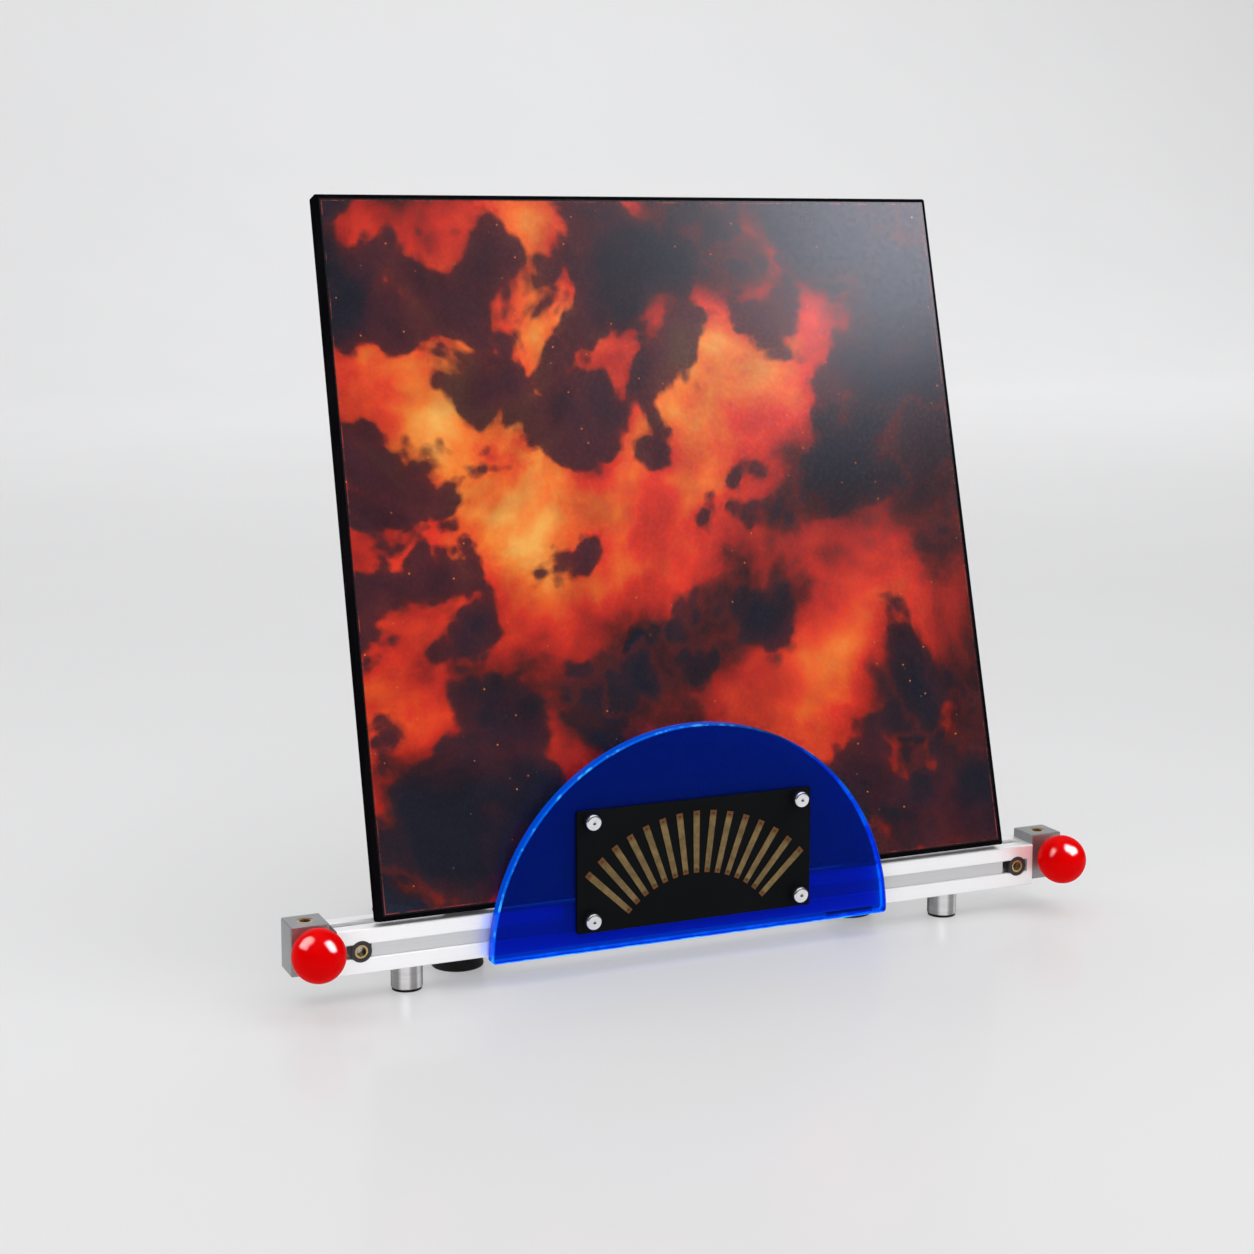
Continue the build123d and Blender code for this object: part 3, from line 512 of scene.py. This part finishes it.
dress(moulded("panel_black", (0.0045, 0.005, 0.0058), (0.003, 0.0036, 0.0042), 0.5, 1400.0, 0.25, 0.05), "fan_panel")
dress(worn_metal("dark_pin", (0.10, 0.07, 0.04), (0.05, 0.035, 0.02), 0.4, 600.0), "strip_pins")
dress(capped_chrome("panel_screws", 0.0013), "panel_screws")
dress(laminated_board(), "record_case")
dress(cover_art(), "cover_print")
dress(sleeve_paper(), "inner_sleeve_front", "inner_sleeve_back")
dress(disc_vinyl(), "record_disc_front", "record_disc_back")
dress(moulded("label_paper", (0.55, 0.08, 0.03), (0.42, 0.05, 0.02), 0.6, 700.0, 0.15), "disc_labels")


# Studio

FLOOR_GLOW = 0.289
AIR = 0.99
RADIANCE = {"key": 1.42, "side": 0.89, "top": 0.39, "front": 1.5, "backdrop": 3.7}
GLINT = {"key": 7.0, "side": 4.0, "ball_key": 330.0, "ball_side": 110.0}


def studio_surface():
    material, tree, shader = new_material("studio_paper")
    set_shader(shader, Coat_Weight=0.35, Coat_Roughness=0.16, Coat_IOR=1.35)
    set_shader(shader, Roughness=0.7, Emission_Color=(1.0, 0.998, 1.0, 1.0), Emission_Strength=FLOOR_GLOW)
    tree.links.new(
        ramp(tree, noise(tree, coords(tree), 3.0, 3, 0.5), (0.3, (0.45, 0.452, 0.46)), (0.7, (0.465, 0.467, 0.475))),
        shader.inputs["Base Color"],
    )
    return material


def make_sweep():
    """A floor that curves up into a backdrop well behind the stand."""
    width, front, turn, radius, height, steps = 9.0, -4.0, 3.2, 2.2, 6.0, 24
    profile = [(front, 0.0)]
    for k in range(steps + 1):
        angle = math.pi / 2 * k / steps
        profile.append((turn + radius * math.sin(angle), radius * (1 - math.cos(angle))))
    profile.append((turn + radius, height))
    points = [(x, y, z) for y, z in profile for x in (-width, width)]
    faces = [(2 * k, 2 * k + 1, 2 * k + 3, 2 * k + 2) for k in range(len(profile) - 1)]
    mesh = bpy.data.meshes.new("sweep")
    mesh.from_pydata(points, [], faces)
    mesh.shade_smooth()
    mesh.materials.append(studio_surface())
    sweep = bpy.data.objects.new("sweep", mesh)
    bpy.context.collection.objects.link(sweep)


def add_softbox(name, place, aim, size, radiance, roll=0.0, **seen):
    """An area light of a given radiance. seen switches off kinds of rays, such as glossy=False."""
    data = bpy.data.lights.new(name, "AREA")
    data.shape = "RECTANGLE"
    data.size, data.size_y = size
    data.energy = radiance * math.pi * size[0] * size[1]
    light = bpy.data.objects.new(name, data)
    light.location = place
    towards = (Vector(aim) - Vector(place)).to_track_quat("-Z", "Y")
    light.rotation_euler = (towards.to_matrix() @ Matrix.Rotation(roll, 3, "Z")).to_euler()
    for kind, value in seen.items():
        setattr(light, f"visible_{kind}", value)
    bpy.context.collection.objects.link(light)
    return light


def add_panel(name, place, aim, size, radiance):
    """A board that only reflections see: the glowing face of a softbox, or black where the radiance is 0."""
    half_w, half_h = size[0] / 2, size[1] / 2
    mesh = bpy.data.meshes.new(name)
    mesh.from_pydata([(-half_w, -half_h, 0), (half_w, -half_h, 0), (half_w, half_h, 0), (-half_w, half_h, 0)], [], [(3, 2, 1, 0)])
    material, tree, shader = new_material(name)
    set_shader(shader, Base_Color=(0, 0, 0, 1), Specular_IOR_Level=0.0)
    set_shader(shader, Emission_Color=(1, 1, 1, 1), Emission_Strength=radiance)
    mesh.materials.append(material)
    panel = bpy.data.objects.new(name, mesh)
    panel.location = place
    panel.rotation_euler = (Vector(aim) - Vector(place)).to_track_quat("-Z", "Y").to_euler()
    for kind in ("camera", "diffuse", "transmission", "volume_scatter", "shadow"):
        setattr(panel, f"visible_{kind}", False)
    bpy.context.collection.objects.link(panel)
    return panel


def shine_on(light, *nodes):
    """Keeps a light to the named CAD nodes."""
    group = bpy.data.collections.new(light.name)
    for name in nodes:
        group.objects.link(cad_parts[name])
    light.light_linking.receiver_collection = group


def make_world():
    """Pale air, darker towards the front so that dark surfaces stay dark."""
    world = bpy.data.worlds.new("studio_air")
    bpy.context.scene.world = world
    world.use_nodes = True
    tree = world.node_tree
    way = split(tree, coords(tree, kind="Generated"))
    back = ramp(tree, math_node(tree, "ADD", math_node(tree, "MULTIPLY", way["Y"], 0.5), 0.5), (0.20, 0.10), (0.5, 0.55), (0.8, 0.75))
    above = ramp(tree, way["Z"], (0.45, 0.0), (0.75, 0.75))
    light = blend_colour(tree, "LIGHTEN", 1.0, back, above)
    background = tree.nodes["Background"]
    tree.links.new(light, background.inputs["Color"])
    background.inputs["Strength"].default_value = AIR


def make_camera():
    data = bpy.data.cameras.new("camera")
    data.lens = 64.28
    data.sensor_width = 36.0
    data.shift_y = -0.0877
    data.clip_start = 0.05
    data.clip_end = 60.0
    camera = bpy.data.objects.new("camera", data)
    camera.location = (-0.43016, -0.90829 + RAIL_Y, 0.32515)
    camera.rotation_euler = (math.radians(90 - 7.051), 0, math.radians(-23.525))
    bpy.context.collection.objects.link(camera)
    bpy.context.scene.camera = camera


bpy.context.scene.view_settings.view_transform = "Standard"
make_sweep()
make_world()
make_camera()
KEY = (0.478, -0.400 + RAIL_Y, 0.712)
KEY_AIM = (-0.10, RAIL_Y, 0.20)
SIDE = (-0.656, 0.219 + RAIL_Y, 0.642)
SIDE_AIM = (0.0, RAIL_Y + 0.25, 0.10)
KEY_SIZE = (0.6, 0.9)
SIDE_SIZE = (0.75, 0.75)
BALLS = ("ball_knob_left", "ball_knob_right")
add_softbox("key", KEY, KEY_AIM, KEY_SIZE, RADIANCE["key"])
add_softbox("side", SIDE, SIDE_AIM, SIDE_SIZE, RADIANCE["side"])
add_softbox("top", (0.0, 0.3, 2.4), (0.0, 0.1, 0.0), (2.6, 2.6), RADIANCE["top"])
add_softbox("front", (-0.6, -2.2, 0.9), (0.0, 0.0, 0.15), (2.4, 1.5), RADIANCE["front"], glossy=False)
add_softbox("backdrop", (2.1, 2.6, 3.2), (2.5, 4.8, 0.9), (5.0, 1.6), RADIANCE["backdrop"], glossy=False)
for name, place, aim, size in (("key", KEY, KEY_AIM, KEY_SIZE), ("side", SIDE, SIDE_AIM, SIDE_SIZE)):
    add_panel(f"{name}_glint", place, aim, size, GLINT[name])
    shine_on(add_panel(f"ball_{name}", place, aim, size, GLINT[f"ball_{name}"]), *BALLS)
RAIL_FILL = 5.0
SHEEN = 12.0
rail_fill = add_softbox("rail_fill", (-0.55, -0.95, 0.22), (-0.06, RAIL_Y, 0.02), (1.0, 0.4), RAIL_FILL)
shine_on(rail_fill, "rail", "slot_cover_left", "slot_cover_right", "end_cap_right", "foot_left", "foot_right")
sheen = add_softbox("sheen", (0.475, -0.37, 0.635), (0.16, 0.04, 0.34), (0.30, 0.27), SHEEN, diffuse=False)
sheen.data.color = (0.85, 0.88, 1.0)
shine_on(sheen, "cover_print")
add_panel("flag_left", (-0.95, 0.02, 0.35), (0.0, RAIL_Y, 0.2), (0.55, 0.75), 0.0)
add_panel("flag_right", (0.95, -0.05, 0.35), (0.0, RAIL_Y, 0.2), (0.45, 0.75), 0.0)
